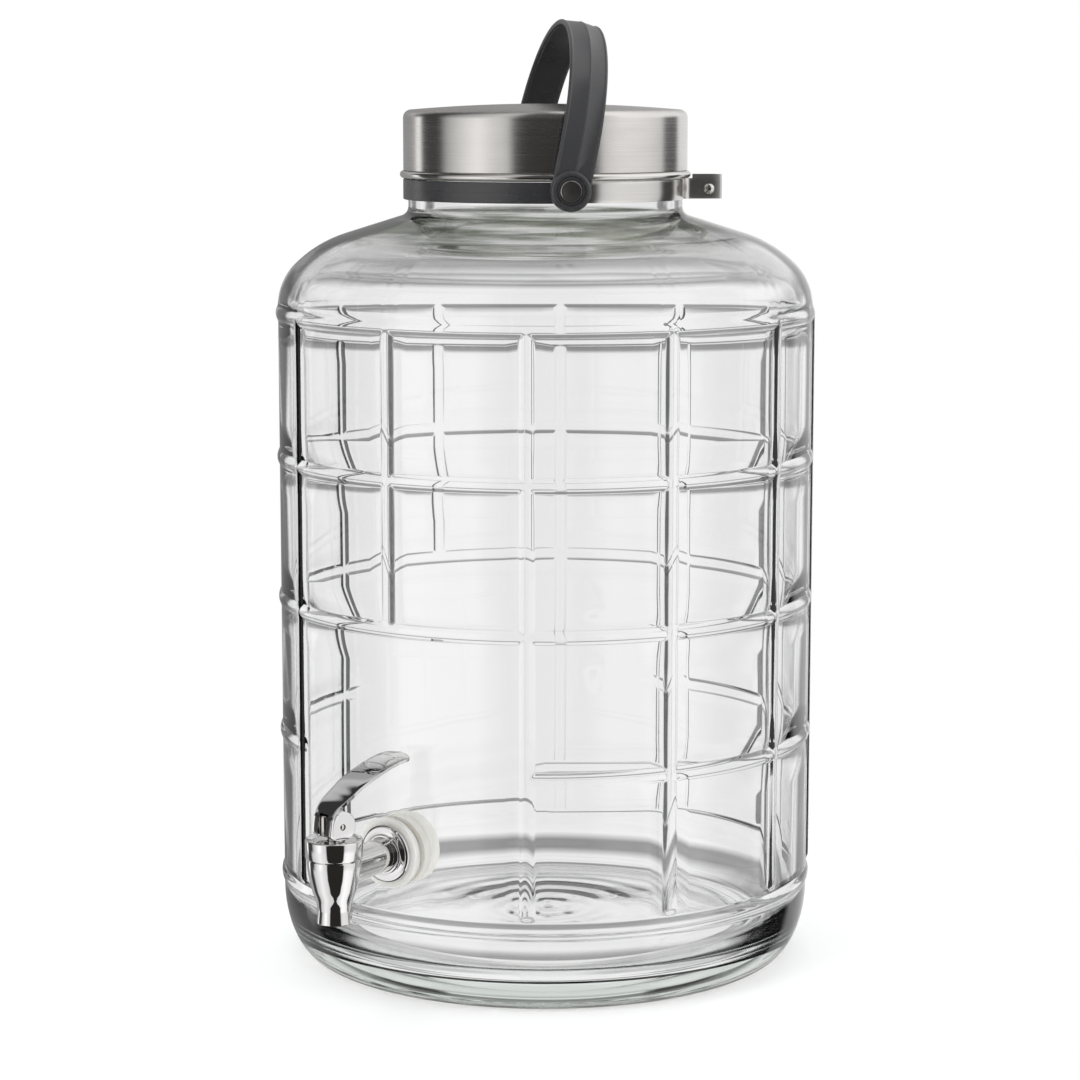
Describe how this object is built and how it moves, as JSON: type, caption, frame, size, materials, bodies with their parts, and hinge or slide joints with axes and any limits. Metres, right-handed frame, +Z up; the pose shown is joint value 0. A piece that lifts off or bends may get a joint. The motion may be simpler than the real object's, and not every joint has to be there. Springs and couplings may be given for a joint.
{
  "type": "glass beverage dispenser",
  "caption": "Wide-mouth glass jar with embossed window-pane grid, screw lid, swinging strap handle and a lever spigot at the foot.",
  "frame": {"origin": "under the middle of the object's box, on the surface that it stands on", "axes": "+Z up along the jar's axis, -Y to the front as pictured, +X to the clamp ears; the jar's own axis stands at x 0, y 0.0128"},
  "size_m": [0.266, 0.2916, 0.4642],
  "materials": {
    "glass": "clear soda-lime glass, moulded, with a faint green tint in the thick foot",
    "brushed_steel": "brushed stainless steel sheet, grain round the side",
    "polished_steel": "polished stainless steel",
    "chrome_plate": "mirror chrome plate on moulded plastic",
    "grey_plastic": "dark grey moulded plastic, satin",
    "white_plastic": "white moulded plastic",
    "white_silicone": "milky white silicone"
  },
  "bodies": {
    "base": {"glass_jar": "glass", "neck_band": "polished_steel", "band_sleeve": "grey_plastic", "clamp_screw": "polished_steel", "clamp_nut": "polished_steel", "handle_pin_front": "polished_steel", "handle_pin_back": "polished_steel", "pivot_washer_front": "white_plastic", "pivot_washer_back": "white_plastic", "handle_button_front": "polished_steel", "handle_button_back": "polished_steel", "faucet_body": "chrome_plate", "faucet_bonnet": "chrome_plate", "outer_washer": "white_silicone", "inner_washer": "white_silicone", "shank_nut": "white_plastic", "seat_cup": "white_silicone"},
    "handle": {"handle_bail": "grey_plastic"},
    "lid_seal": {"lid_gasket": "white_silicone"},
    "lid": {"lid_shell": "brushed_steel", "lid_liner": "white_plastic"},
    "valve": {"valve_stem": "polished_steel", "lever_pin": "polished_steel"},
    "lever": {"faucet_lever": "chrome_plate"}
  },
  "joints": [
    {"name": "handle_swing", "type": "hinge", "parent": "base", "child": "handle", "pos_m": [0, 0.01284, 0.38325], "axis": [-0.1461, 0.9893, 0], "range_deg": [-105, 65]},
    {"name": "lid_rise", "type": "slide", "parent": "base", "child": "lid_seal", "axis": [0, 0, 1], "range_m": [0, 0.0061]},
    {"name": "lid_turn", "type": "hinge", "parent": "lid_seal", "child": "lid", "pos_m": [0, 0.01284, 0.4], "axis": [0, 0, 1], "range_deg": [0, 360]},
    {"name": "valve_lift", "type": "slide", "parent": "base", "child": "valve", "axis": [0, 0, 1], "range_m": [0, 0.0017], "deforming": ["seat_cup"]},
    {"name": "lever_tilt", "type": "hinge", "parent": "valve", "child": "lever", "pos_m": [-0.09718, -0.13234, 0.0966], "axis": [0.6157, -0.788, 0], "range_deg": [0, 50], "stiffness_Nm_per_rad": 0.02, "springref_deg": -17.19}
  ],
  "couplings": [
    {"joint": "lid_rise", "follows": "lid_turn", "m_per_rad": 0.00095493},
    {"joint": "valve_lift", "follows": "lever_tilt", "m_per_rad": 0.0019}
  ]
}
